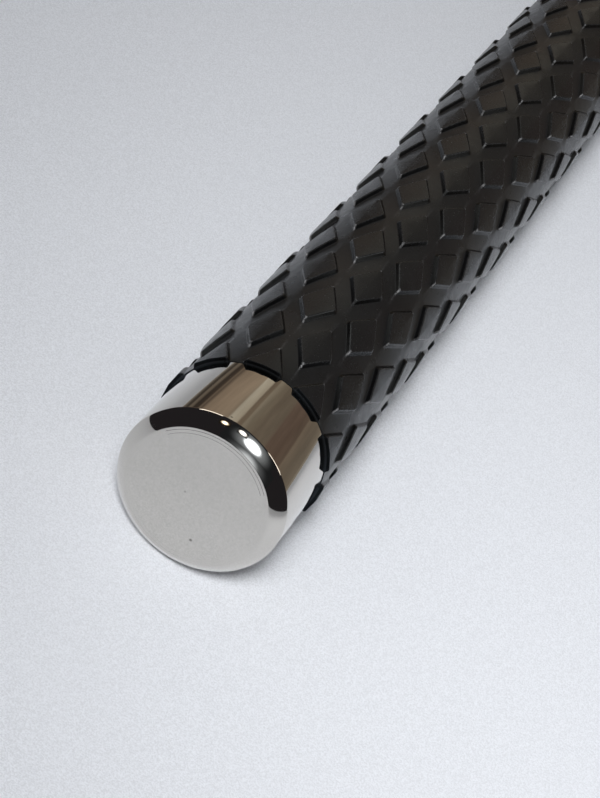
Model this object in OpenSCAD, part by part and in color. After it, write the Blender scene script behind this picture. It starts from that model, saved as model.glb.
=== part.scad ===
// Devil stick: a straight juggling baton with a diamond-tread rubber sleeve and polished end caps.
// The stick lies along X with its balance point at the origin; +Z is up.

/* [Stick] */
// Overall length from face to face, mm
stick_len = 653; // [560:1:720]

/* [End caps] */
// Radius of a cap's barrel, mm
cap_r = 17.5; // [17.2:0.1:18.5]
// Length of the straight part of the barrel, mm
cap_barrel = 20.6; // [16:0.1:26]
// Length of the rounded bevel between the face and the barrel, mm
bevel_len = 2.8; // [2.2:0.1:3.6]
// Width of that bevel, seen from the end, mm
bevel_w = 2.7; // [2.2:0.05:3.2]
// How far the bevel bulges past a straight cone, mm
bevel_bulge = 0.2; // [0.1:0.05:0.4]
// Thickness of the cap's face, mm
face_t = 3; // [2.5:0.1:4]
// Radius of the threaded boss inside the cap, mm
boss_r = 6.5; // [6:0.1:8]
// Distance from the face to the inner end of the boss, mm
boss_end = 11; // [9:0.1:11.4]

/* [Core tube] */
// Outer radius of the tube, mm
tube_r = 16; // [15:0.1:16]
// Wall thickness of the tube, mm
tube_wall = 1; // [0.8:0.1:1.2]
// Distance from a cap's face to the mouth of the tube, mm
tube_inset = 6.8; // [6.8:0.1:8]

/* [Tread sleeve] */
// Radius of the smooth bands between the pads, mm
band_r = 17.6; // [17.4:0.05:18]
// Height of the pads above the bands, mm
pad_h = 0.9; // [0.5:0.05:1.2]
// Rings of pads from one cut end of the sleeve to the other
tread_steps = 39; // [31:2:43]
// Pads in each ring
pads_around = 10; // [8:1:12]
// Half the length of a pad's top, mm
pad_top_half = 8.2; // [7:0.1:9]
// Half the length of a pad's foot, mm
pad_foot_half = 9.65; // [9:0.05:10.5]
// Half the width of a pad's top, degrees round the stick
pad_top_turn = 12; // [10:0.1:13]
// Half the width of a pad's foot, degrees round the stick
pad_foot_turn = 14; // [13:0.1:14.5]
// How far each ring is turned past the last one, degrees
ring_creep = -0.38; // [-0.5:0.01:0.5]

/* [Fixings] */
// Radius of the threaded stud, mm
stud_r = 4; // [3:0.5:4]
// Length of the stud, mm
stud_len = 40; // [34:1:40]
// Width of the jam nut across its flats, mm
nut_flats = 13; // [12:0.5:14]
// Height of the jam nut, mm
nut_h = 4; // [3:0.1:4.5]
// Thickness of the split lock washer, mm
washer_t = 2; // [1.5:0.1:2.2]
// Outer radius of the lock washer, mm
washer_r = 7.4; // [6.5:0.1:8]
// Thickness of the balance weight, mm
weight_t = 5; // [3:0.5:8]
// Length of the plug in the tube's mouth, mm
plug_len = 29; // [28:1:34]
// Radius of the cross pin, mm
pin_r = 1.5; // [1:0.25:2]
// Distance from the plug's inner end to the cross pin, mm
pin_edge = 4.5; // [3.5:0.5:6]
// Radius of the cord of the O-ring, mm
ring_cord_r = 0.8; // [0.6:0.05:0.9]

/* [Hidden] */
$fn = 96;

left = -1;
right = 1;
half_len = stick_len / 2;
cap_len = bevel_len + cap_barrel;
face_r = cap_r - bevel_w;

// Clearances between pieces that fit each other
fit_gap = 0.1;
thread_gap = 0.05;
stack_gap = 0.1;

// Cap's inner shape: the wall and the cone that backs the bevel
cap_bore_r = tube_r + fit_gap;
cone_r = face_r - 1.15;
cone_end = bevel_len + 2.7;
boss_hole_floor = 2.4;

// Two fine turned grooves just inside the rim of the face: radius, depth and half width
inner_groove = [face_r - 1.25, 0.05, 0.1];
outer_groove = [face_r - 0.5, 0.12, 0.15];

// Stack of pieces on the stud, measured from the cap's face
nut_at = boss_end + 0.6;
washer_at = nut_at + nut_h + stack_gap;
weight_at = washer_at + washer_t + stack_gap;
plug_at = weight_at + weight_t + stack_gap;
plug_end = plug_at + plug_len;
pin_at = plug_end - pin_edge;
stud_at = boss_hole_floor + 1;
stud_hole_end = stud_at + stud_len + 1;
pin_half = tube_r - 0.3;
plug_r = tube_r - tube_wall - fit_gap;
ring_mid_r = tube_r - 0.8;
ring_mid_at = tube_inset - ring_cord_r - 0.05;

// Tread lattice: rings of pads, each turned by half a pitch from the last
sleeve_len = stick_len - 2 * cap_len;
ring_step = sleeve_len / tread_steps;
slots = 2 * pads_around;
slot_turn = 360 / slots;
pad_r = band_r + pad_h;
sleeve_bore_r = tube_r + thread_gap;

// Puts children drawn along +Z, from a cap's face inwards, at one end of the stick
module at_end(side) {
  translate([side * half_len, 0, 0]) rotate([0, -90 * side, 0]) children();
}

// Ring or disc between two depths under the cap's face
module ring(inner_r, outer_r, from, to) {
  translate([0, 0, from]) difference() {
    cylinder(r = outer_r, h = to - from);
    if (inner_r > 0) translate([0, 0, -1]) cylinder(r = inner_r, h = to - from + 2);
  }
}

// Points of the bevel from the face's rim to the barrel: a cone with a shallow bulge
function bevel_point(t) = let(
    along = [bevel_w, bevel_len],
    out = [bevel_len, -bevel_w] / norm(along),
    bulge = bevel_bulge * 4 * t * (1 - t)
  ) [face_r, 0] + along * t + out * bulge;

// Three points of a V-groove in the face
function groove(g) = [[g[0] - g[2], 0], [g[0], g[1]], [g[0] + g[2], 0]];

module end_cap(side) {
  arc_steps = 10;
  outer = concat(
    [[0, 0]], groove(inner_groove), groove(outer_groove),
    [for (i = [0:arc_steps]) bevel_point(i / arc_steps)],
    [[cap_r, cap_len], [cap_bore_r, cap_len], [cap_bore_r, cone_end], [cone_r, face_t], [0, face_t]]
  );
  color("gainsboro") at_end(side) difference() {
    union() {
      rotate_extrude() polygon(outer);
      translate([0, 0, face_t - 0.5]) cylinder(r = boss_r, h = boss_end - face_t + 0.5);
    }
    translate([0, 0, boss_hole_floor]) cylinder(r = stud_r + thread_gap, h = boss_end);
  }
}

module cap_o_ring(side) {
  color("dimgray") at_end(side) translate([0, 0, ring_mid_at])
    rotate_extrude() translate([ring_mid_r, 0]) circle(r = ring_cord_r, $fn = 32);
}

module cap_stud(side) {
  chamfer = 0.8;
  core_r = stud_r - chamfer;
  profile = [
    [0, 0], [core_r, 0], [stud_r, chamfer], [stud_r, stud_len - chamfer],
    [core_r, stud_len], [0, stud_len]
  ];
  color("silver") at_end(side) translate([0, 0, stud_at]) rotate_extrude() polygon(profile);
}

module jam_nut(side) {
  corner_r = nut_flats / 2 / cos(30);
  chamfer = 0.7;
  turned = [
    [0, 0], [corner_r - chamfer, 0], [corner_r, chamfer * 0.6],
    [corner_r, nut_h - chamfer * 0.6], [corner_r - chamfer, nut_h], [0, nut_h]
  ];
  color("silver") at_end(side) translate([0, 0, nut_at]) difference() {
    intersection() {
      cylinder(r = corner_r, h = nut_h, $fn = 6);
      rotate_extrude() polygon(turned);
    }
    translate([0, 0, -1]) cylinder(r = stud_r + thread_gap, h = nut_h + 2);
  }
}

module lock_washer(side) {
  slit = 0.8;
  color("silver") at_end(side) difference() {
    ring(stud_r + fit_gap, washer_r, washer_at, washer_at + washer_t);
    translate([0, -slit / 2, washer_at - 1]) cube([washer_r + 1, slit, washer_t + 2]);
  }
}

module balance_weight(side) {
  color("slategray") at_end(side) ring(stud_r + 2 * fit_gap, plug_r - 0.3, weight_at, weight_at + weight_t);
}

// Hole for the cross pin, through the tube's walls or the plug
module pin_hole() {
  translate([0, 0, pin_at]) rotate([90, 0, 0])
    cylinder(r = pin_r + thread_gap, h = 2 * tube_r + 2, center = true, $fn = 48);
}

module end_plug(side) {
  color("ivory") at_end(side) difference() {
    ring(0, plug_r, plug_at, plug_end);
    translate([0, 0, plug_at - 1]) cylinder(r = stud_r + thread_gap, h = stud_hole_end - plug_at + 1);
    pin_hole();
  }
}

// Rolled spring pin: a tube with one slit along it
module plug_pin(side) {
  wall = 0.55;
  slit = 0.6;
  color("silver") at_end(side) translate([0, 0, pin_at]) rotate([90, 0, 0]) difference() {
    cylinder(r = pin_r, h = 2 * pin_half, center = true, $fn = 48);
    cylinder(r = pin_r - wall, h = 2 * pin_half + 2, center = true, $fn = 48);
    translate([0, -slit / 2, -pin_half - 1]) cube([pin_r + 1, slit, 2 * pin_half + 2]);
  }
}

module core_tube() {
  color("darkgray") difference() {
    rotate([0, 90, 0]) difference() {
      cylinder(r = tube_r, h = stick_len - 2 * tube_inset, center = true);
      cylinder(r = tube_r - tube_wall, h = stick_len, center = true);
    }
    at_end(left) pin_hole();
    at_end(right) pin_hole();
  }
}

// A point on the sleeve: x along the stick, turn measured from the top, r from the axis
function tread_point(x, turn, r) = [x, -r * sin(turn), r * cos(turn)];

// The tread is a lattice of rings of slots. A slot whose ring number and place in the ring
// add up to an odd number holds a pad; the others hold the one point where bands cross.
// A pad has eight points: near, left, far and right of its foot, then the same of its top.
// Half pads at the two cut ends of the sleeve are closed by their own flattened walls.
function has_pad(k, j) = (k + j) % 2 == 1;
function slot_turned(k, j) = j * slot_turn + k * ring_creep;
function ring_x(k) = k * ring_step - sleeve_len / 2;
function in_sleeve(x) = min(max(x, -sleeve_len / 2), sleeve_len / 2);
function pad_points(k, j, half, turn, r) = [
    tread_point(in_sleeve(ring_x(k) - half), slot_turned(k, j), r),
    tread_point(ring_x(k), slot_turned(k, j) - turn, r),
    tread_point(in_sleeve(ring_x(k) + half), slot_turned(k, j), r),
    tread_point(ring_x(k), slot_turned(k, j) + turn, r)
  ];
function slot_points(k, j) = has_pad(k, j)
    ? concat(pad_points(k, j, pad_foot_half, pad_foot_turn, band_r),
             pad_points(k, j, pad_top_half, pad_top_turn, pad_r))
    : [tread_point(ring_x(k), slot_turned(k, j), band_r)];

// Index of a slot's first point. Two slots side by side hold nine points: in an odd ring
// the pad's eight come first, and in an even ring the crossing's one does.
function first_point(k, j) = let(jj = (j + slots) % slots)
    9 * (pads_around * k + floor(jj / 2)) + (jj % 2 == 0 ? 0 : (k % 2 == 0 ? 1 : 8));

// Two triangles across the four-sided patch a, b, c, d
function patch(a, b, c, d) = [[a, b, c], [a, c, d]];

// True where a pad's side from corner i to the next has bands beyond it
function has_band(k, i) = (k > 0 || i == 1 || i == 2) && (k < tread_steps || i == 0 || i == 3);

// Faces of one pad: its top, its four walls and the bands round its foot
function pad_faces(k, j) = let(
    p = first_point(k, j),
    beyond = [first_point(k - 1, j), first_point(k, j - 1), first_point(k + 1, j), first_point(k, j + 1)]
  ) concat(
    patch(p + 4, p + 5, p + 6, p + 7),
    [for (i = [0:3], n = (i + 1) % 4) each patch(p + i, p + n, p + 4 + n, p + 4 + i)],
    [for (i = [0:3], n = (i + 1) % 4) if (has_band(k, i)) each patch(beyond[i], beyond[n], p + n, p + i)]
  );

// The sleeve's flat end: round the ring, over each crossing and along the foot of each pad,
// whose middle corner is the near one at the first ring and the far one at the last
function end_face(k, middle) = [
    for (j = [0:slots - 1], p = first_point(k, j))
      each has_pad(k, j) ? [p + 1, p + middle, p + 3] : [p]
  ];

module tread_sleeve() {
  rings = [0:tread_steps];
  places = [0:slots - 1];
  points = [for (k = rings, j = places) each slot_points(k, j)];
  last_face = end_face(tread_steps, 2);
  faces = concat(
    [for (k = rings, j = places) if (has_pad(k, j)) each pad_faces(k, j)],
    [end_face(0, 0)],
    [[for (i = [len(last_face) - 1:-1:0]) last_face[i]]]
  );
  color([0.09, 0.09, 0.1]) difference() {
    polyhedron(points = points, faces = faces, convexity = 4);
    rotate([0, 90, 0]) cylinder(r = sleeve_bore_r, h = sleeve_len + 2, center = true);
  }
}

core_tube();
tread_sleeve();
end_cap(left);  // left_end_cap
cap_o_ring(left);  // left_cap_o_ring
cap_stud(left);  // left_cap_stud
jam_nut(left);  // left_jam_nut
lock_washer(left);  // left_lock_washer
balance_weight(left);  // left_balance_weight
end_plug(left);  // left_end_plug
plug_pin(left);  // left_plug_pin
end_cap(right);  // right_end_cap
cap_o_ring(right);  // right_cap_o_ring
cap_stud(right);  // right_cap_stud
jam_nut(right);  // right_jam_nut
lock_washer(right);  // right_lock_washer
balance_weight(right);  // right_balance_weight
end_plug(right);  // right_end_plug
plug_pin(right);  // right_plug_pin
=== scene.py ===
# %% [markdown]
# # A devil stick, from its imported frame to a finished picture
# The stick is a round bar that is juggled between two hand sticks: a rubber sleeve with a diamond tread,
# and a polished metal cap on each end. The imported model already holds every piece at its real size. Here
# the two kinds of piece that can be seen, the sleeve and the caps, get finer meshes, and every piece gets
# a finish. Everything is in metres, with X along the stick and Z up.

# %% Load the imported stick
import math

import bmesh
import bpy
import numpy as np
from mathutils import Matrix, Vector


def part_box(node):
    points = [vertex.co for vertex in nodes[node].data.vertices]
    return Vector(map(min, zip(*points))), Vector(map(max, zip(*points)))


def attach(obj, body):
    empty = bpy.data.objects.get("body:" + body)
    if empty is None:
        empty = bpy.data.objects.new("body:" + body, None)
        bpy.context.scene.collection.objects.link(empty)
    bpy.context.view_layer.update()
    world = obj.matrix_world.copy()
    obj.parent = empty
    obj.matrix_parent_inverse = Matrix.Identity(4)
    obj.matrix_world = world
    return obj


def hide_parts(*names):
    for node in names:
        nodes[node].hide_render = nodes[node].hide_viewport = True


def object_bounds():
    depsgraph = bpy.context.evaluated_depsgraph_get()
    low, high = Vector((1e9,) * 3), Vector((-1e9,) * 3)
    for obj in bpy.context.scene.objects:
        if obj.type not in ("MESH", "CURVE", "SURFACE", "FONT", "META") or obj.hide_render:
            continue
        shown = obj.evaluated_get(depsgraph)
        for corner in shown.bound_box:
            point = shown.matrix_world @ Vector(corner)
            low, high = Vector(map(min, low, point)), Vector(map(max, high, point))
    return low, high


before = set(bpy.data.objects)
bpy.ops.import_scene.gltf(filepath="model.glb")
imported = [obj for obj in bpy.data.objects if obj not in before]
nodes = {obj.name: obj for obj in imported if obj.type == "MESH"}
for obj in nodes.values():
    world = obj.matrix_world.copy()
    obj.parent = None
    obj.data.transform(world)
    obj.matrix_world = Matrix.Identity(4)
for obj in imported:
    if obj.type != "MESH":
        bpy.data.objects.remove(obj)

cad_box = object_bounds()
mm = 0.001
print("the packed box, in mm:", [round(v / mm, 2) for v in (*cad_box[0], *cad_box[1])])

# %% [markdown]
# ## Measures that everything else hangs on
# A new piece has to sit exactly where its packed one does, so its main sizes are read from the packed
# boxes. The tread's own proportions can't be read from a box: the height of its pads is given here, in
# millimetres, and the rest where the tread is drawn.

# %% Read the sizes of the sleeve and the caps
sleeve_low, sleeve_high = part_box("tread_sleeve")
cap_low, cap_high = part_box("left_end_cap")
sleeve_half = sleeve_high.x
pad_r = min(sleeve_high.z, -sleeve_low.z)
cap_r = cap_high.z
face_x = cap_low.x
cap_len = cap_high.x - cap_low.x
floor_z = cad_box[0].z
pad_height = 0.9 * mm
band_r = pad_r - pad_height
print(f"sleeve {2 * sleeve_half / mm:.1f} mm long, its pads {pad_r / mm:.2f} mm from the axis")
print(f"cap {cap_r / mm:.2f} mm in radius and {cap_len / mm:.1f} mm long")

# %% [markdown]
# ## The camera
# The stick is seen from in front of its left cap and well above the floor, with the camera rolled over so
# that the stick climbs from the lower left to the upper right. Giving the aim point, the distance and
# three angles, and working the three axes out from them, keeps each number something a photographer
# would recognise. The camera stands about half a metre off, so the stick shrinks visibly as it recedes,
# and a long lens fills the picture with its near end.

# %% Place the camera
aim = Vector((face_x + 76.0 * mm, -2.7 * mm, floor_z))
camera_distance = 534.9 * mm
look_azimuth = math.radians(-88.87)
look_down = math.radians(33.68)
roll_left = math.radians(37.8)
long_lens = 110.6

back = Vector((
    math.sin(look_azimuth) * math.cos(look_down),
    -math.cos(look_azimuth) * math.cos(look_down),
    math.sin(look_down),
))
level_right = Vector((0, 0, 1)).cross(back).normalized()
level_up = back.cross(level_right)
right = level_right * math.cos(roll_left) + level_up * math.sin(roll_left)
up = level_up * math.cos(roll_left) - level_right * math.sin(roll_left)

camera_data = bpy.data.cameras.new("camera")
camera_data.lens = long_lens
camera_data.clip_start = 0.01
camera_data.clip_end = 60.0
camera = bpy.data.objects.new("camera", camera_data)
camera_axes = Matrix((right, up, back)).transposed().to_4x4()
camera.matrix_world = Matrix.Translation(aim + back * camera_distance) @ camera_axes
bpy.context.scene.collection.objects.link(camera)
bpy.context.scene.camera = camera
bpy.context.scene.view_settings.view_transform = "Standard"
print("camera at, in mm:", [round(v / mm, 1) for v in camera.location])

# %% [markdown]
# ## Small helpers for meshes
# Both new shapes are worked out as whole arrays of points. One helper turns points and faces into a mesh
# object. For a closed piece it also welds the points that fall together, points every face outwards and
# smooths the shading except across edges sharper than a given angle. Another one lists the faces of a
# grid, and a last one hands a finished piece over to the frame.

# %% Turn arrays into an object
weld_within = 0.002 * mm


def make_object(name, points, faces, sharp_angle=None, painted_glint=None):
    """Object at the origin from an array of points and a list of faces. With a sharp angle, in degrees,
    its points are welded, its faces turned outwards and its edges below that angle smoothed. The last
    argument is a number from 0 to 1 for each point, how strongly a painted highlight is laid there; it is
    kept on the mesh for a finish to read."""
    mesh = bpy.data.meshes.new(name)
    mesh.from_pydata(points.reshape(-1, 3).tolist(), [], faces)
    if painted_glint is not None:
        mesh.attributes.new("painted_glint", "FLOAT", "POINT").data.foreach_set("value", painted_glint.astype(np.float32))
    if sharp_angle is not None:
        work = bmesh.new()
        work.from_mesh(mesh)
        bmesh.ops.remove_doubles(work, verts=work.verts, dist=weld_within)
        bmesh.ops.delete(work, geom=[v for v in work.verts if not v.link_faces], context="VERTS")
        bmesh.ops.recalc_face_normals(work, faces=work.faces)
        work.to_mesh(mesh)
        work.free()
        mesh.shade_smooth()
        mesh.set_sharp_from_angle(angle=math.radians(sharp_angle))
    thing = bpy.data.objects.new(name, mesh)
    bpy.context.scene.collection.objects.link(thing)
    return thing


def grid_faces(rows, columns, wrap=False):
    """Four-sided faces between the rows of a grid of points; wrap joins the last column to the first."""
    row = np.arange(rows - 1)[:, None]
    column = np.arange(columns if wrap else columns - 1)[None, :]
    beside = (column + 1) % columns
    corners = (row * columns + column, row * columns + beside,
               (row + 1) * columns + beside, (row + 1) * columns + column)
    return np.stack(np.broadcast_arrays(*corners), axis=-1).reshape(-1, 4)


def hand_over(piece, node, finish):
    """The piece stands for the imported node, rides on the stick, and takes its finish."""
    piece.data.materials.append(finish)
    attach(piece, "root")
    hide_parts(node)
    print(f"{piece.name}: {len(piece.data.polygons)} faces, for {node}")


# %% [markdown]
# ## Small helpers for finishes
# A finish is a Principled shader fed by a few textures. All of them read Object coordinates, which are
# metres on the stick, so a scale of 1000 gives grain about a millimetre across. The helpers keep the
# node trees short: they start a finish, add a node, make grey noise, map a grey to a range, blend two
# colours, feed the shader and press bumps into it.

# %% Start a finish and add to it
def start_finish(name, **sockets):
    """A new material, its node tree, its shader and the Object coordinates to feed textures with."""
    finish = bpy.data.materials.new(name)
    finish.use_nodes = True
    tree = finish.node_tree
    shader = tree.nodes["Principled BSDF"]
    for socket, value in sockets.items():
        shader.inputs[socket.replace("_", " ")].default_value = value
    place = tree.nodes.new("ShaderNodeTexCoord").outputs["Object"]
    return finish, tree, shader, place


def add_node(tree, kind, inputs=None, **settings):
    """A node of that kind. A value given for an input is set on it, and another node's output is linked."""
    made = tree.nodes.new(kind)
    for key, value in settings.items():
        setattr(made, key, value)
    for key, value in (inputs or {}).items():
        if isinstance(value, bpy.types.NodeSocket):
            tree.links.new(value, made.inputs[key])
        else:
            made.inputs[key].default_value = value
    return made


def noise(tree, place, scale, detail=3.0, stretch=None):
    """Soft grey noise of about 1 / scale metres. Stretch scales each axis: under 1 draws marks out."""
    if stretch is not None:
        place = add_node(tree, "ShaderNodeMapping", {"Vector": place, "Scale": stretch}).outputs["Vector"]
    made = add_node(tree, "ShaderNodeTexNoise", {"Vector": place, "Scale": scale, "Detail": detail})
    return made.outputs["Fac"]


def between(tree, grey, low, high, start=0.3, end=0.7, **settings):
    """Grey from start to end becomes a number from low to high."""
    sockets = {"Value": grey, "From Min": start, "From Max": end, "To Min": low, "To Max": high}
    return add_node(tree, "ShaderNodeMapRange", sockets, **settings).outputs["Result"]


def blend_colours(tree, grey, first, second):
    """First colour where the grey is 0, second where it is 1. The first may be another node's output."""
    share, colour_a, colour_b, blended = 0, 6, 7, 2     # a Mix node's sockets share names, so by number
    if not isinstance(first, bpy.types.NodeSocket):
        first = (*first, 1)
    sockets = {colour_a: first, colour_b: (*second, 1), share: grey}
    return add_node(tree, "ShaderNodeMix", sockets, data_type="RGBA").outputs[blended]


def multiply(tree, first, second):
    """The product of two greys, or of a grey and a number."""
    return add_node(tree, "ShaderNodeMath", {0: first, 1: second}, operation="MULTIPLY").outputs[0]


def feed(tree, shader, **outputs):
    """Each output goes to the shader's socket of that name."""
    for socket, output in outputs.items():
        tree.links.new(output, shader.inputs[socket.replace("_", " ")])


def press_in(tree, shader, grey, depth, strength=1.0):
    """Bumps of that depth in metres from a grey texture."""
    bump = add_node(tree, "ShaderNodeBump", {"Height": grey, "Distance": depth, "Strength": strength})
    feed(tree, shader, Normal=bump.outputs["Normal"])


# %% [markdown]
# ## Polished chrome for the caps
# The polished plate reflects a bit more than half of the light and looks very slightly warm. A perfect
# mirror looks false, so its gloss drifts a little over the surface, hairline scratches run across it, and
# a few small dark specks sit in it, where dirt has dried on the polish. The specks are the middles of
# Voronoi cells, and a second noise hides many of them.

# %% Make the chrome
def make_chrome():
    """Mirror plate: warm grey, faint drift in gloss, hairline scratches and rare specks."""
    finish, tree, shader, place = start_finish("polished_chrome", Metallic=1.0)
    drift = between(tree, noise(tree, place, 90.0, 4.0), 0.0, 1.0)
    plain = blend_colours(tree, drift, (0.595, 0.574, 0.538), (0.625, 0.603, 0.566))
    cells = add_node(tree, "ShaderNodeTexVoronoi", {"Vector": place, "Scale": 170.0, "Randomness": 1.0})
    speck = between(tree, cells.outputs["Distance"], 1.0, 0.0, 0.03, 0.07)
    rare = between(tree, noise(tree, place, 140.0, 1.0), 0.0, 0.75, 0.46, 0.52)
    specked = blend_colours(tree, multiply(tree, speck, rare), plain, (0.12, 0.11, 0.10))
    gloss = between(tree, noise(tree, place, 260.0, 5.0), 0.025, 0.06)
    feed(tree, shader, Base_Color=specked, Roughness=gloss)
    hairlines = noise(tree, place, 420.0, 2.0, stretch=(1.0, 14.0, 1.6))
    press_in(tree, shader, hairlines, 0.0016 * mm, 0.6)
    return finish


chrome = make_chrome()
print("made", chrome.name)

# %% [markdown]
# ## Satin black rubber for the sleeve
# The sleeve is moulded black rubber. It isn't pure black: handling leaves a thin grey bloom in patches
# and a little dust, the pad tops are rubbed smoother than the bands between them, and the mould's own fine
# grain breaks up the shine. The pads' steep walls carry painted shade: their colour is made blacker than
# the rest, and their shine is lower. The tips of the pads carry a painted highlight, a light grey laid
# where a glint falls. The distance from the stick's axis tells a top, a wall and a band apart, so that is
# worked out from the coordinates. How strong the painted highlight is at each point is stored on the
# mesh, because it follows the pads.

# %% Make the rubber
def make_rubber():
    """Near-black rubber with a patchy bloom, a fine mould grain, dust and smooth pad tops, with painted
    shade that blackens the walls and a painted highlight of light grey on the pad tips.
    Climb is (radius - band radius) / pad height, and wall is 1 only between a pad's foot and its rim."""
    cool_shine = (0.66, 0.84, 1.0, 1.0)
    finish, tree, shader, place = start_finish("black_rubber", Specular_Tint=cool_shine)
    across = add_node(tree, "ShaderNodeVectorMath", {0: place, 1: (0, 1, 1)}, operation="MULTIPLY")
    radius = add_node(tree, "ShaderNodeVectorMath", {0: across.outputs[0]}, operation="LENGTH")
    climb = between(tree, radius.outputs["Value"], 0.0, 1.0, band_r, pad_r)
    up_the_foot = between(tree, climb, 0.0, 1.0, 0.02, 0.20)
    down_the_rim = between(tree, climb, 1.0, 0.0, 0.68, 0.86)
    wall = multiply(tree, up_the_foot, down_the_rim)

    patches = between(tree, noise(tree, place, 55.0, 5.0), 0.0, 1.0)
    body = blend_colours(tree, patches, (0.0064, 0.0068, 0.0076), (0.0112, 0.0117, 0.0127))
    dust = between(tree, noise(tree, place, 2300.0, 1.0), 0.0, 0.5, 0.74, 0.80)
    dusty = blend_colours(tree, dust, body, (0.10, 0.10, 0.10))
    # Painted shade: the walls are coloured near black, for the shade between the pads.
    painted_wall_shade = blend_colours(tree, wall, dusty, (0.0015, 0.0015, 0.0016))
    # Painted highlight: light grey on the pad tips, broken up by noise, where a glint falls.
    painted_glint = add_node(tree, "ShaderNodeAttribute", attribute_name="painted_glint").outputs["Fac"]
    glint_breakup = between(tree, noise(tree, place, 1300.0, 3.0), 0.15, 1.0, 0.38, 0.58)
    with_painted_glint = blend_colours(tree, multiply(tree, painted_glint, glint_breakup), painted_wall_shade, (0.34, 0.34, 0.35))
    shine = between(tree, wall, 0.24, 0.10, 0.0, 1.0)

    rubbed = between(tree, climb, 0.05, 0.0, 0.5, 0.9)
    satin = between(tree, noise(tree, place, 400.0, 4.0), 0.21, 0.29)
    rough = add_node(tree, "ShaderNodeMath", {0: satin, 1: rubbed}, operation="ADD").outputs[0]
    feed(tree, shader, Base_Color=with_painted_glint, Specular_IOR_Level=shine, Roughness=rough)
    press_in(tree, shader, noise(tree, place, 1500.0, 3.0), 0.012 * mm, 0.5)
    return finish


rubber = make_rubber()
print("made", rubber.name)

# %% [markdown]
# ## One cell of the tread
# The tread is two families of crossing bands, and each hole in that net holds one raised pad. A pad and
# the half bands around it make one cell, and 400 of them cover the sleeve. So only one cell is drawn, as
# a stack of six closed outlines on the unrolled sleeve: the cell's border, the foot of the pad, the bottom
# and top of its wall, and two on the way over the rim to the flat top. The corners of a pad are rounded,
# with five points each. The small steps at the foot and at the rim catch the light along a moulded edge.

# %% Outlines of a cell
ring_count = 39
slots_around = 20
ring_step = 2 * sleeve_half / ring_count
slot_turn = math.radians(360 / slots_around)
ring_creep = math.radians(-0.38)

top_half, foot_half = 8.2 * mm, 9.65 * mm
top_turn, foot_turn = math.radians(12), math.radians(14)
pad_corner = 0.8 * mm
inset_along, inset_round = 2.3, 1.1     # how far a diamond's tips move for a unit of inset
corner_steps = np.linspace(0, 1, 5)
points_each = len(corner_steps) + 1


def diamond(half_length, half_turn, corner):
    """Points round a diamond, as (x, turn). Each corner gives five, on the curve
    (1 - t)^2 before + 2 t (1 - t) tip + t^2 after, and each side gives its middle."""
    tips = np.array([[-half_length, 0], [0, -half_turn * pad_r], [half_length, 0], [0, half_turn * pad_r]])
    onward = np.roll(tips, -1, axis=0) - tips
    length = np.linalg.norm(onward, axis=1, keepdims=True)
    onward = onward / length
    backward = -np.roll(onward, 1, axis=0)
    before = tips + backward * corner
    after = tips + onward * corner
    curve = [(1 - t) ** 2 * before + 2 * t * (1 - t) * tips + t ** 2 * after for t in corner_steps]
    middle = tips + onward * length / 2
    flat = np.stack([*curve, middle], axis=1).reshape(-1, 2)
    return flat / (1, pad_r)


def cell_border():
    """The same places along the net's own lines, from crossing to crossing, with a corner's points
    spread over a share of each line. The rings creep round the stick, so the crossings before and
    after a pad are turned a little from it."""
    corner_share = 0.3
    tips = np.array([[-ring_step, -ring_creep], [0, -slot_turn], [ring_step, ring_creep], [0, slot_turn]])
    ahead, behind = np.roll(tips, -1, axis=0), np.roll(tips, 1, axis=0)
    reach = corner_share * (corner_steps - 0.5)
    steps = [tips + (behind - tips) * max(-r, 0) + (ahead - tips) * max(r, 0) for r in reach]
    return np.stack([*steps, (tips + ahead) / 2], axis=1).reshape(-1, 2)


def pad_outline(climb, inset=0.0):
    """Outline of the pad at a share of its wall's height: 0 is its foot and 1 its top. Inset shrinks it."""
    half_length = foot_half + (top_half - foot_half) * climb - inset_along * inset
    half_turn = foot_turn + (top_turn - foot_turn) * climb - inset_round * inset / pad_r
    return diamond(half_length, half_turn, pad_corner)


climbs = np.array([0, 0, 0.16, 0.70, 0.91, 1])
insets = np.array([0, -0.12, 0, 0, 0.05, 0.20]) * mm
cell_rings = np.stack([cell_border(), *(pad_outline(c, i) for c, i in zip(climbs[1:], insets[1:]))])
ring_heights = climbs * pad_height
print("one cell:", cell_rings.shape[0], "outlines of", cell_rings.shape[1], "points")

# %% [markdown]
# ## Every cell at once
# A pad sits where the number of its ring and of its place round the ring add up to an odd number. All the
# cells come from the one drawing by adding their place to it, in one array. No two moulded pads are quite
# alike, so the corners of each top wander by a few hundredths of a millimetre and its height sinks a
# little, from a seeded random source.

# %% Lay the cells round the sleeve
rng = np.random.default_rng(7)
corner_wander, deepest_sink = 0.05 * mm, 0.07 * mm
ring_number, place_number = np.meshgrid(np.arange(ring_count + 1), np.arange(slots_around), indexing="ij")
has_pad = (ring_number + place_number) % 2 == 1
ring_number, place_number = ring_number[has_pad], place_number[has_pad]
cell_total = len(ring_number)


def on_sleeve(x, turn, radius):
    """Points from x along the stick, turn about it measured from the top, and distance from its axis."""
    return np.stack(np.broadcast_arrays(x, -radius * np.sin(turn), radius * np.cos(turn)), axis=-1)


wander = rng.normal(0, corner_wander, (cell_total, 4, 2)) / (1, pad_r)
wander[ring_number % ring_count == 0] = 0
share_of_corners = np.repeat(np.eye(4), points_each, axis=0)
share_of_corners[points_each - 1::points_each] = (np.eye(4) + np.roll(np.eye(4), 1, axis=1)) / 2
shifts = np.einsum("pc,ncd->npd", share_of_corners, wander)[:, None] * climbs[None, :, None, None]
sink = rng.uniform(0, deepest_sink, cell_total)

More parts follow.
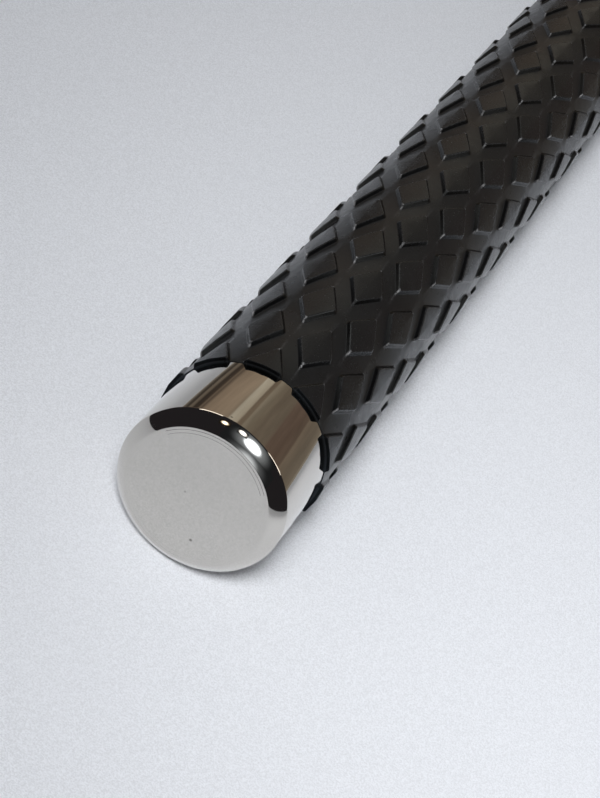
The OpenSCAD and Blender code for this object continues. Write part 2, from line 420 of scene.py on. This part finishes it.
cell_x = ring_number * ring_step - sleeve_half
cell_turn = place_number * slot_turn + ring_number * ring_creep
outline_x = cell_x[:, None, None] + cell_rings[None, ..., 0] + shifts[..., 0]
outline_turn = cell_turn[:, None, None] + cell_rings[None, ..., 1] + shifts[..., 1]
outline_r = band_r + ring_heights[None, :, None] - sink[:, None, None] * climbs[None, :, None]
outline_r = np.broadcast_to(outline_r, outline_x.shape)
outlines = on_sleeve(outline_x, outline_turn, outline_r)
middles = on_sleeve(cell_x, cell_turn, pad_r - sink)
cell_points = np.concatenate([outlines.reshape(cell_total, -1, 3), middles[:, None]], axis=1)
print(cell_total, "cells,", cell_points.shape[1], "points each")

# %% [markdown]
# ## Faces for every cell
# Every cell has the same faces: four-sided ones between its outlines, and a fan of triangles that closes
# the flat top. They are listed once too, and each cell adds the number of its own first point. The two cut
# ends run through the middle of a ring of pads, so the cells there keep only the half that lies on the
# sleeve.

# %% Faces of every cell
outline_total, points_round = cell_rings.shape[:2]
walls = grid_faces(outline_total, points_round, wrap=True)
side_of_wall = np.tile(np.arange(points_round), outline_total - 1)
rim = (outline_total - 1) * points_round + np.arange(points_round)
top = np.stack([rim, np.roll(rim, -1), np.full(points_round, cell_points.shape[1] - 1)], axis=1)
left_tip, right_tip = np.array([1, 3]) * points_each + len(corner_steps) // 2


def kept(sides, ring):
    """Which faces a cell keeps: all of them, or those on the sleeve's side at the two cut ends."""
    far = (sides >= left_tip) & (sides < right_tip)
    return np.where(ring == 0, far, np.where(ring == ring_count, ~far, True))


first_point = (np.arange(cell_total) * cell_points.shape[1])[:, None, None]
keep_walls = kept(side_of_wall[None, :], ring_number[:, None])
keep_top = kept(np.arange(points_round)[None, :], ring_number[:, None])
wall_faces = (walls[None] + first_point)[keep_walls]
top_faces = (top[None] + first_point)[keep_top]
tread_faces = wall_faces.tolist() + top_faces.tolist()
print(len(tread_faces), "faces on the tread")

# %% [markdown]
# ## Painted highlights on the pad tips
# The rounded tips at the two ends of each pad catch a glint, and it is painted on them as light grey.
# How strongly each point is painted is a number on the mesh. It is largest at the upper part of those
# two tips and varies from point to point, and the rim between them gets only a faint one.

# %% Paint highlights on the tips of the pads
rim_glint = np.array([0, 0, 0, 0.01, 0.05, 0])          # one for each outline, from border to top
tip_glint = np.array([0, 0.1, 0.6, 1.0, 1.0, 0])
near_tip = np.zeros(points_round)
near_tip[:len(corner_steps)] = 0, 0.5, 1.0, 0.5, 0
near_tip += np.roll(near_tip, 2 * points_each)
painted_glint = rim_glint[:, None] + (tip_glint - rim_glint)[:, None] * near_tip
painted_glint = painted_glint * rng.uniform(0.25, 1.0, (cell_total, 1, points_round))
cell_glint = np.concatenate([painted_glint.reshape(cell_total, -1), np.zeros((cell_total, 1))], axis=1)
print("scuff from", cell_glint.min(), "to", round(float(cell_glint.max()), 2))

# %% [markdown]
# ## The sleeve's cut ends and its bore
# The sleeve was cut square through a ring of pads. Its end face runs from the bore out to the profile of
# the cut pads, so the profile's points are picked from the half cells, in order round the stick, and
# joined to the bore. The bore is a grid that turns slowly from one end's points to the other's, which
# closes the rubber into one solid shape.

# %% Close the sleeve
bore_r = 16.05 * mm
bore_rings = 13


def end_profile(ring, first_place):
    """Turns and radii round the cut at one end, twelve for each half pad, starting from one place: up
    the outlines on one side of the pad, over its middle, and down the other side."""
    at_end = np.flatnonzero(ring_number == ring)
    order = (place_number[at_end] - first_place) % slots_around
    at_end = at_end[np.argsort(order)]
    laps = (place_number[at_end] < first_place) * 2 * math.pi
    rising = np.arange(outline_total)
    turns = np.concatenate([
        outline_turn[at_end][:, rising, left_tip], cell_turn[at_end][:, None],
        outline_turn[at_end][:, rising[:0:-1], right_tip],
    ], axis=1)
    radii = np.concatenate([
        outline_r[at_end][:, rising, left_tip], (pad_r - sink[at_end])[:, None],
        outline_r[at_end][:, rising[:0:-1], right_tip],
    ], axis=1)
    return (turns + laps[:, None]).ravel(), radii.ravel()


left_turns, left_radii = end_profile(0, first_place=1)
right_turns, right_radii = end_profile(ring_count, first_place=2)
along = np.linspace(0, 1, bore_rings)[:, None]
bore_turns = left_turns * (1 - along) + right_turns * along
bore = on_sleeve((2 * along - 1) * sleeve_half, bore_turns, bore_r)
left_cut = on_sleeve(-sleeve_half, left_turns, left_radii)
right_cut = on_sleeve(sleeve_half, right_turns, right_radii)
lining = np.concatenate([left_cut[None], bore, right_cut[None]])
lining_faces = grid_faces(len(lining), len(left_turns), wrap=True) + cell_points.size // 3

sleeve_points = np.concatenate([cell_points.reshape(-1, 3), lining.reshape(-1, 3)])
# The painted highlight is nil on the cut ends and the bore.
sleeve_glint = np.concatenate([cell_glint.ravel(), np.zeros(lining.size // 3)])
sleeve_faces = tread_faces + lining_faces.tolist()
sleeve = make_object("tread_sleeve_rubber", sleeve_points, sleeve_faces, sharp_angle=50, painted_glint=sleeve_glint)
crisp = sleeve.modifiers.new("even_light", "WEIGHTED_NORMAL")
crisp.weight = 60
crisp.keep_sharp = True
hand_over(sleeve, "tread_sleeve", rubber)

# %% [markdown]
# ## The end caps
# A cap is turned from bar on a lathe, so it is one profile spun about the stick's axis. The profile runs
# from the middle of the face, over two fine turned grooves and a shallow bulging bevel, along the barrel,
# back through the cup that slides over the tube, and round the threaded boss. A lathe leaves no knife
# edges, so each corner of the profile is swapped for a small arc.

# %% Profile of a cap
def round_off(corners, radii, steps=6):
    """Each corner with a radius is swapped for an arc that touches both of its sides."""
    shaped = [corners[:1]]
    for i in range(1, len(corners) - 1):
        to_last, to_next = corners[i - 1] - corners[i], corners[i + 1] - corners[i]
        to_last, to_next = to_last / np.linalg.norm(to_last), to_next / np.linalg.norm(to_next)
        half = math.acos(np.clip(to_last @ to_next, -1, 1)) / 2
        if radii[i] == 0 or half > math.radians(89.5):
            shaped.append(corners[i:i + 1])
            continue
        inward = (to_last + to_next) / np.linalg.norm(to_last + to_next)
        centre = corners[i] + inward * radii[i] / math.sin(half)
        swing = np.linspace(half - math.pi / 2, math.pi / 2 - half, steps)[:, None]
        side = (to_next - to_next @ inward * inward) / math.sin(half)
        shaped.append(centre - inward * radii[i] * np.cos(swing) + side * radii[i] * np.sin(swing))
    shaped.append(corners[-1:])
    return np.concatenate(shaped)


bevel_len, bevel_w, bulge = 2.8 * mm, 2.7 * mm, 0.2 * mm
bevel_points = 14
face_r = cap_r - bevel_w


def bevel_curve():
    """Points from the face's rim to the barrel: a straight cone plus a parabola that bulges outwards."""
    share = np.linspace(0, 1, bevel_points)[:, None]
    cone = np.array([0, face_r]) + share * np.array([bevel_len, bevel_w])
    outward = np.array([-bevel_w, bevel_len]) / math.hypot(bevel_w, bevel_len)
    return cone + bulge * 4 * share * (1 - share) * outward


def groove(radius, depth):
    """Three points of a shallow cut into the face: a short steep wall, then a long gentle one back out.
    Each wall's width is its slope times the depth."""
    steep, gentle = 2, 9
    return np.array([[0, radius - steep * depth], [depth, radius], [0, radius + gentle * depth]])


def cap_profile():
    """Depth under the face and radius, from the axis on the outside to the axis inside the boss."""
    face_t = 3.0 * mm
    boss_r, boss_end = 6.5 * mm, 11.0 * mm
    hole_r, hole_floor = 4.05 * mm, 2.4 * mm
    cup_r, cup_floor_r, cup_wall_from = 16.1 * mm, 13.65 * mm, 5.5 * mm
    outside = np.concatenate([
        [[0, 0]],
        groove(face_r - 1.25 * mm, 0.02 * mm),
        groove(face_r - 0.5 * mm, 0.03 * mm),
        bevel_curve(),
        [[cap_len, cap_r]],
    ])
    inside = np.array([
        [cap_len, cup_r], [cup_wall_from, cup_r], [face_t, cup_floor_r], [face_t, boss_r],
        [boss_end, boss_r], [boss_end, hole_r], [hole_floor, hole_r], [hole_floor, 0],
    ])
    corners = np.concatenate([outside, inside])
    radii = np.zeros(len(corners))
    rim = 7                                # after the axis and two grooves of three points
    shoulder = rim + bevel_points - 1
    radii[[rim, shoulder]] = 0.1 * mm, 0.6 * mm
    radii[shoulder + 1:-1] = 0.15 * mm
    return round_off(corners, radii)


profile = cap_profile()
print("cap profile:", len(profile), "points, radius up to", round(profile[:, 1].max() / mm, 2), "mm")

# %% [markdown]
# ## Spinning the caps
# A lathe turns the work against a tool, and a mesh can be made the same way: the profile is repeated at
# 192 angles about the stick's axis, all in one array. The same profile, measured from the other end of
# the stick, gives the second cap.

# %% Spin the profile into both caps
facets_around = 192


def spin(profile, side):
    """The profile spun about X at the left (-1) or right (1) end: x = side * (half length - depth)."""
    angle = np.linspace(0, 2 * math.pi, facets_around, endpoint=False)[None, :]
    depth, radius = profile[:, :1], profile[:, 1:]
    x = side * (-face_x - depth)
    return np.stack(np.broadcast_arrays(x, radius * np.sin(angle), radius * np.cos(angle)), axis=-1)


for side, end in ((-1, "left"), (1, "right")):
    points = spin(profile, side)
    faces = grid_faces(len(profile), facets_around, wrap=True).tolist()
    cap = make_object(f"{end}_cap_chrome", points, faces, sharp_angle=20)
    hand_over(cap, f"{end}_end_cap", chrome)

# %% [markdown]
# ## Finishes for the pieces inside
# The tube, studs, nuts, washers, weights, plugs, pins and O-rings are hidden while the stick is whole,
# but they are there when it is taken apart or cut in a drawing, so each gets the finish it really has:
# drawn aluminium with lengthwise lines, bright zinc with a thread's ridges, dark spring steel, turned
# steel with fine rings, milky nylon and matt rubber. A thread is only a bump, because nobody sees its
# edge: a mesh of it would cost many faces for nothing.

# %% Make the inner finishes
metal_spread, dull_spread = (0.2, 0.25), (0.15, 0.15)


def wear_in(tree, shader, grey, dark, light, roughness, spread):
    """One grey texture steers both the colour and the roughness, which goes from roughness (1 - first
    spread) where the colour is dark to roughness (1 + second spread) where it is light."""
    colour = blend_colours(tree, between(tree, grey, 0.0, 1.0), dark, light)
    gloss = between(tree, grey, roughness * (1 - spread[0]), roughness * (1 + spread[1]))
    feed(tree, shader, Base_Color=colour, Roughness=gloss)


def make_metal(name, dark, light, roughness, marks, depth=0.02 * mm):
    """Metal whose colour and gloss wander a little, with marks stretched along or across the stick."""
    finish, tree, shader, place = start_finish(name, Metallic=1.0)
    wear_in(tree, shader, noise(tree, place, 130.0, 5.0), dark, light, roughness, metal_spread)
    press_in(tree, shader, noise(tree, place, 900.0, 3.0, stretch=marks), depth)
    return finish


def make_threaded(name, dark, light, roughness, pitch):
    """Plated steel with ridges that repeat every pitch along the stick. A Wave texture repeats every
    2 pi / (20 scale), so its scale is 2 pi / (20 pitch)."""
    finish, tree, shader, place = start_finish(name, Metallic=1.0)
    wear_in(tree, shader, noise(tree, place, 160.0, 5.0), dark, light, roughness, metal_spread)
    waves = {"Vector": place, "Scale": 2 * math.pi / (20 * pitch)}
    ridges = add_node(tree, "ShaderNodeTexWave", waves,
                      wave_type="BANDS", bands_direction="X", wave_profile="TRI")
    press_in(tree, shader, ridges.outputs["Fac"], 0.3 * mm)
    return finish


def make_dull(name, dark, light, roughness, grain):
    """Plastic or rubber: a mottled colour and a soft grain."""
    finish, tree, shader, place = start_finish(name)
    wear_in(tree, shader, noise(tree, place, 200.0, 4.0), dark, light, roughness, dull_spread)
    press_in(tree, shader, noise(tree, place, grain, 3.0), 0.03 * mm)
    return finish


lengthwise, crosswise = (0.06, 1.0, 1.0), (1.0, 0.08, 0.08)
stud_pitch = 1.25 * mm
inner_finishes = {
    "core_tube": make_metal(
        "drawn_aluminium", (0.62, 0.63, 0.64), (0.78, 0.79, 0.80), 0.30, lengthwise),
    "cap_stud": make_threaded(
        "zinc_thread", (0.52, 0.54, 0.57), (0.70, 0.72, 0.74), 0.28, stud_pitch),
    "jam_nut": make_metal(
        "zinc_plate", (0.54, 0.56, 0.58), (0.72, 0.73, 0.75), 0.26, crosswise),
    "lock_washer": make_metal(
        "oiled_spring_steel", (0.22, 0.22, 0.24), (0.38, 0.38, 0.40), 0.35, crosswise),
    "plug_pin": make_metal(
        "rolled_spring_steel", (0.24, 0.24, 0.25), (0.40, 0.40, 0.41), 0.33, lengthwise),
    "balance_weight": make_metal(
        "turned_steel", (0.36, 0.36, 0.37), (0.50, 0.50, 0.51), 0.32, crosswise, 0.03 * mm),
    "end_plug": make_dull(
        "milky_nylon", (0.70, 0.68, 0.62), (0.84, 0.82, 0.77), 0.5, 700.0),
    "cap_o_ring": make_dull(
        "matt_rubber", (0.018, 0.018, 0.018), (0.035, 0.035, 0.035), 0.6, 1500.0),
}
print(len(inner_finishes), "inner finishes made")

# %% [markdown]
# ## Giving the finishes out
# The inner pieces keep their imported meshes, and only their material changes. The two ends hold the same
# eight pieces, told apart by left_ or right_ in front of the name, so the name without it finds the finish.

# %% Give out the inner finishes
finished = 0
for name, thing in nodes.items():
    kind = name.removeprefix("left_").removeprefix("right_")
    if kind in inner_finishes:
        if not thing.material_slots:
            thing.data.materials.append(inner_finishes[kind])
        for holder in thing.material_slots:
            holder.material = inner_finishes[kind]
        finished += 1
print(finished, "inner pieces finished")

# %% [markdown]
# ## The floor
# The stick lies on a sheet of pale, faintly blue paper. Paper has a grain that is only just visible, so
# a fine noise mottles its colour a little. It reaches far past the picture, because the barrel of the cap
# reflects it out to the horizon.

# %% Lay the floor
def make_paper():
    """Pale matt paper with a fine mottled grain."""
    finish, tree, shader, place = start_finish("pale_paper", Roughness=0.9, Specular_IOR_Level=0.2)
    grain = between(tree, noise(tree, place, 2900.0, 2.0), 0.0, 1.0, 0.32, 0.68)
    mottled = blend_colours(tree, grain, (0.675, 0.695, 0.735), (0.83, 0.855, 0.905))
    feed(tree, shader, Base_Color=mottled)
    return finish


floor_reach = 14.0
floor_lines = 29
reach = np.linspace(-floor_reach, floor_reach, floor_lines)
floor_grid = np.stack(np.meshgrid(reach, reach, [floor_z], indexing="ij"), axis=-1)[:, :, 0]
facing_up = grid_faces(floor_lines, floor_lines)[:, ::-1].tolist()
floor = make_object("floor", floor_grid, facing_up)
floor.data.materials.append(make_paper())
print("floor at", round(floor_z / mm, 2), "mm")

# %% [markdown]
# ## What the chrome sees
# A mirror shows the room and not itself, so a studio puts cards round polished metal. The cards here are
# only there for reflections: they cast no light or shadow on matt things and the camera doesn't see them.
# A card is a grid of points with a glowing material.

# %% Helpers for cards
def start_glow(name):
    """A material with an emission shader only."""
    finish = bpy.data.materials.new(name)
    finish.use_nodes = True
    tree = finish.node_tree
    tree.nodes.clear()
    glow = add_node(tree, "ShaderNodeEmission")
    out = add_node(tree, "ShaderNodeOutputMaterial")
    tree.links.new(glow.outputs[0], out.inputs["Surface"])
    place = tree.nodes.new("ShaderNodeTexCoord").outputs["Object"]
    return finish, tree, glow, place


def hang_card(name, points, finish):
    """A card from a grid of points, seen in reflections only."""
    card = make_object(name, points, grid_faces(*points.shape[:2]).tolist())
    card.data.materials.append(finish)
    card.visible_camera = False
    card.visible_diffuse = False
    card.visible_shadow = False


# %% [markdown]
# ## Stripes for the barrel
# The barrel looks forwards along the stick and up. One long arch over the stick, in bands of browns and
# greys, gives it stripes that run along it. Each entry is a turn about the stick in degrees, measured from
# the top, and the colour there: a pale edge near the floor, thin dark and tan bands, one wide tan band,
# a bright strip, and dim browns beyond it. Between the entries the colours blend.

# %% Hang the arch
room_bands = (
    (-97.0, (0.70, 0.69, 0.66)), (-92.0, (0.50, 0.47, 0.42)), (-88.0, (0.12, 0.10, 0.08)),
    (-84.0, (0.04, 0.032, 0.026)), (-81.0, (0.17, 0.14, 0.11)), (-78.5, (0.15, 0.12, 0.09)),
    (-76.0, (0.045, 0.035, 0.028)), (-71.0, (0.06, 0.045, 0.035)), (-68.5, (0.19, 0.145, 0.105)),
    (-66.0, (0.12, 0.09, 0.068)), (-62.0, (0.25, 0.19, 0.138)), (-55.0, (0.31, 0.235, 0.17)),
    (-38.0, (0.33, 0.255, 0.185)), (-31.0, (0.33, 0.26, 0.19)), (-29.0, (0.50, 0.45, 0.36)),
    (-19.0, (0.43, 0.375, 0.29)), (-17.0, (0.17, 0.13, 0.095)), (-12.5, (0.18, 0.14, 0.10)),
    (-10.5, (0.27, 0.23, 0.175)), (-2.0, (0.20, 0.165, 0.122)), (6.0, (0.16, 0.128, 0.096)),
    (22.0, (0.17, 0.138, 0.104)), (25.5, (0.165, 0.128, 0.097)), (27.5, (0.145, 0.103, 0.079)),
    (45.0, (0.135, 0.095, 0.072)), (56.0, (0.14, 0.103, 0.078)), (58.0, (0.19, 0.15, 0.112)),
    (72.0, (0.165, 0.135, 0.103)), (86.0, (0.21, 0.175, 0.135)), (90.0, (0.33, 0.30, 0.25)),
)


def make_room_glow():
    """Bands of colour by the turn about the stick, atan2(-y, z), clouded by stretched noise."""
    finish, tree, glow, place = start_glow("room_bands")
    parts = add_node(tree, "ShaderNodeSeparateXYZ", {0: place}).outputs
    other_way = multiply(tree, parts["Y"], -1.0)
    turn = add_node(tree, "ShaderNodeMath", {0: other_way, 1: parts["Z"]}, operation="ARCTAN2").outputs[0]
    first, last = room_bands[0][0], room_bands[-1][0]
    share = between(tree, turn, 0.0, 1.0, math.radians(first), math.radians(last))
    ramp = add_node(tree, "ShaderNodeValToRGB", {0: share})
    ramp.color_ramp.elements.remove(ramp.color_ramp.elements[1])
    for i, (degrees, colour) in enumerate(room_bands):
        at = (degrees - first) / (last - first)
        stop = ramp.color_ramp.elements[0] if i == 0 else ramp.color_ramp.elements.new(at)
        stop.position = at
        stop.color = (*colour, 1)
    clouds = between(tree, noise(tree, place, 5.0, 4.0, stretch=(0.25, 1.0, 1.0)), 0.85, 1.15)
    feed(tree, glow, Color=ramp.outputs["Color"], Strength=clouds)
    return finish


arch_r = 1.3
arch_turn = np.radians(np.linspace(room_bands[0][0], room_bands[-1][0], 65))[:, None]
arch_x = np.array([0.55, 6.0])[None, :]
hang_card("room_arch", on_sleeve(arch_x, arch_turn, arch_r), make_room_glow())
print("an arch of", len(room_bands), "bands")

# %% [markdown]
# ## Lamps for the bevel
# The bevel looks back over the camera into a dark room, where a few lamps give it highlights. A real lamp
# glows softly into the air and the wall around it, so each card has a bright core and a wide dim halo,
# both fading smoothly with the distance from its middle.

# %% Hang the lamps
room_dark = 0.02
lamp_distance = 2.0
cool, warm, neutral = (0.88, 0.94, 1.0), (1.0, 0.80, 0.58), (1.0, 0.98, 0.96)


def lamp_card(name, direction, core, halo, colour, strength, halo_strength):
    """A square panel in a direction from the left cap. Core and halo are radii in degrees as seen from
    the cap: a radius in metres is the lamp's distance times the tangent of it."""
    towards = Vector(direction).normalized()
    centre = Vector((face_x, 0, 0)) + towards * lamp_distance
    side = towards.cross(Vector((1, 0, 0))).normalized()
    other = side.cross(towards)
    half = lamp_distance * math.tan(math.radians(halo))
    corner = np.array([-half, half])
    spread = corner[:, None, None] * np.array(side) + corner[None, :, None] * np.array(other)
    finish, tree, glow, place = start_glow(name)
    glow.inputs["Color"].default_value = (*colour, 1)
    away = add_node(tree, "ShaderNodeVectorMath", {0: place, 1: centre}, operation="DISTANCE")
    away = away.outputs["Value"]
    core_r = lamp_distance * math.tan(math.radians(core))
    falloff = {"interpolation_type": "SMOOTHERSTEP"}
    bright = between(tree, away, strength, 0.0, 0.1 * core_r, 1.9 * core_r, **falloff)
    dim = between(tree, away, halo_strength, room_dark, 0.1 * core_r, half, **falloff)
    both = add_node(tree, "ShaderNodeMath", {0: bright, 1: dim}, operation="ADD").outputs[0]
    feed(tree, glow, Strength=both)
    hang_card(name, np.array(centre) + spread, finish)
    print(f"{name}: {2 * half:.2f} m wide")


lamp_card("main_lamp", (-0.48, -0.22, 0.86), 7.5, 30.0, cool, strength=10.0, halo_strength=0.48)
lamp_card("small_lamp", (-0.35, 0.05, 0.93), 3.2, 6.0, neutral, strength=6.0, halo_strength=0.1)
lamp_card("warm_lamp", (-0.36, 0.39, 0.85), 2.6, 6.0, warm, strength=7.0, halo_strength=0.1)
lamp_card("window_behind", (-0.83, -0.24, 0.50), 9.0, 30.0, cool, strength=0.8, halo_strength=0.22)

# %% [markdown]
# ## Soft boxes and a dark screen
# Black rubber shows its tread only where something bright is reflected in it. A long soft box on each side
# lights the edges of the pads. Beside the left cap the opposite is wanted: a low dark screen stands there,
# so that the side of the bevel stays dark instead of mirroring the pale floor.

# %% Hang the soft boxes and the screen
box_distance = 1.4
box_width = np.array([-0.3, 0.3])[:, None]
box_x = np.array([-0.18, 0.75])[None, :]
dark_colour = (0.021, 0.019, 0.021, 1)


def soft_box(name, turn, strength):
    """A long box light beside the sleeve at a turn about it in degrees. Its middle is the box's distance
    from the axis at that turn, and its width lies along the tangent there."""
    angle = math.radians(turn)
    y = -box_distance * math.sin(angle) - box_width * math.cos(angle)
    z = box_distance * math.cos(angle) - box_width * math.sin(angle)
    finish, tree, glow, place = start_glow(name)
    glow.inputs["Color"].default_value = (1.0, 0.9, 0.78, 1)
    uneven = between(tree, noise(tree, place, 2.0, 2.0), 0.8 * strength, 1.2 * strength)
    feed(tree, glow, Strength=uneven)
    hang_card(name, np.stack(np.broadcast_arrays(box_x, y, z), axis=-1), finish)


soft_box("soft_box_left", -42.0, 2.2)
soft_box("soft_box_right", 42.0, 2.2)

screen_x = np.array([-1.2, -0.27])[None, :]
screen_y = 0.115
screen_z = np.array([floor_z + 0.1 * mm, 0.04])[:, None]
dark_finish, _, dark_glow, _ = start_glow("dark_screen_glow")
dark_glow.inputs["Color"].default_value = dark_colour
dark_screen = np.stack(np.broadcast_arrays(screen_x, screen_y, screen_z), axis=-1)
hang_card("dark_screen", dark_screen, dark_finish)
print("two soft boxes and a dark screen hung")

# %% [markdown]
# ## The light
# Matt things are lit apart from that. A window behind the camera and slightly to one side acts like a
# broad sun, whose angle of 15 degrees sets how soft the narrow shadow beside the stick is. A lamp with a
# soft-edged cone adds a pool of light on the floor near the left cap. Reflections don't show either one,
# because the cards stand for them there.

# %% Light the scene
def add_light(name, kind, direction, distance, target, **settings):
    """A light in a direction and at a distance from its target, aimed at it and unseen in reflections."""
    data = bpy.data.lights.new(name, kind)
    for key, value in settings.items():
        setattr(data, key, value)
    light = bpy.data.objects.new(name, data)
    towards = Vector(direction).normalized()
    light.location = target + towards * distance
    light.rotation_euler = towards.to_track_quat("Z", "Y").to_euler()
    light.visible_glossy = False
    bpy.context.scene.collection.objects.link(light)
    print("light:", name)


add_light("window", "SUN", (-0.70, 0.115, 0.70), 2.0, aim, energy=1.95, angle=math.radians(15))
pool_middle = Vector((face_x + 0.11, -0.125, floor_z))
add_light("pool_lamp", "SPOT", (-0.74, 0.115, 0.66), 1.0, pool_middle, energy=29.0,
          spot_size=math.radians(30.6), spot_blend=1.0, shadow_soft_size=0.10)

# %% [markdown]
# ## The empty room
# What lies past the floor and the cards is the world. One colour wouldn't do for it: it has to be pale
# where the camera looks past the floor, dark in reflections, and give matt surfaces a little soft light.
# The Light Path node tells these three kinds of ray apart.

# %% Fill the empty room
room = bpy.data.worlds.new("room")
room.use_nodes = True
bpy.context.scene.world = room
room_tree = room.node_tree
room_tree.nodes.clear()
ray = add_node(room_tree, "ShaderNodeLightPath")
dark_room = add_node(room_tree, "ShaderNodeBackground", {"Color": dark_colour})
soft_air = add_node(room_tree, "ShaderNodeBackground", {"Color": (0.11, 0.112, 0.118, 1)})
pale_wall = add_node(room_tree, "ShaderNodeBackground", {"Color": (0.45, 0.465, 0.49, 1)})
matt_or_not = add_node(room_tree, "ShaderNodeMixShader", {0: ray.outputs["Is Diffuse Ray"]})
seen_or_not = add_node(room_tree, "ShaderNodeMixShader", {0: ray.outputs["Is Camera Ray"]})
room_out = add_node(room_tree, "ShaderNodeOutputWorld")
room_tree.links.new(dark_room.outputs[0], matt_or_not.inputs[1])
room_tree.links.new(soft_air.outputs[0], matt_or_not.inputs[2])
room_tree.links.new(matt_or_not.outputs[0], seen_or_not.inputs[1])
room_tree.links.new(pale_wall.outputs[0], seen_or_not.inputs[2])
room_tree.links.new(seen_or_not.outputs[0], room_out.inputs["Surface"])
print("the room is dark in reflections, and pale to the camera")
